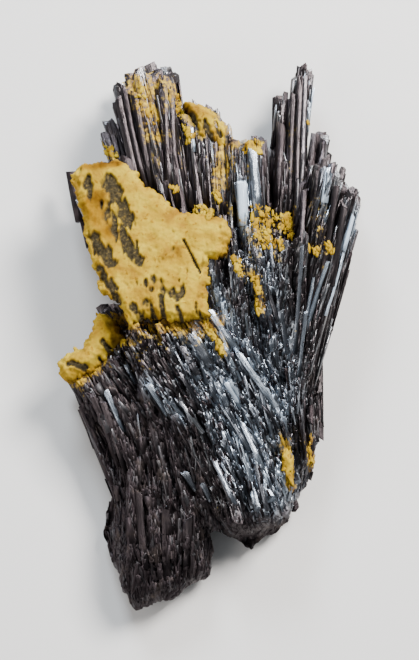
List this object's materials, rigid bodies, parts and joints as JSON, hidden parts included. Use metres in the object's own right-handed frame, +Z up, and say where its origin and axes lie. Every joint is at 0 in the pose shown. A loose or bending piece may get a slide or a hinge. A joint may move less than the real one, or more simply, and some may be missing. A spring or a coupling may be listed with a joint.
{
  "type": "mineral specimen",
  "caption": "Natural spray of long bladed metallic grey crystals grown from a broken foot, with crusts of pale yellow ochre over its left side and tips.",
  "frame": {"origin": "middle of the footprint, on the flat the specimen rests on", "axes": "+Y from the broken foot towards the free tips of the crystals, +Z up out of the crusted side, +X to the right as it is looked down on"},
  "size_m": [0.0478, 0.0862, 0.02],
  "materials": {
    "stibnite": "satin",
    "ochre": "matte"
  },
  "bodies": {
    "root": {"stibnite_crystals": "stibnite", "ochre_crust_plateau": "ochre", "ochre_crust_left_arm": "ochre", "ochre_crust_upper_rim": "ochre", "ochre_knob_left": "ochre", "ochre_knob_prism_tip": "ochre", "ochre_scale_right_fan": "ochre", "ochre_scale_lower_right": "ochre"}
  },
  "joints": []
}
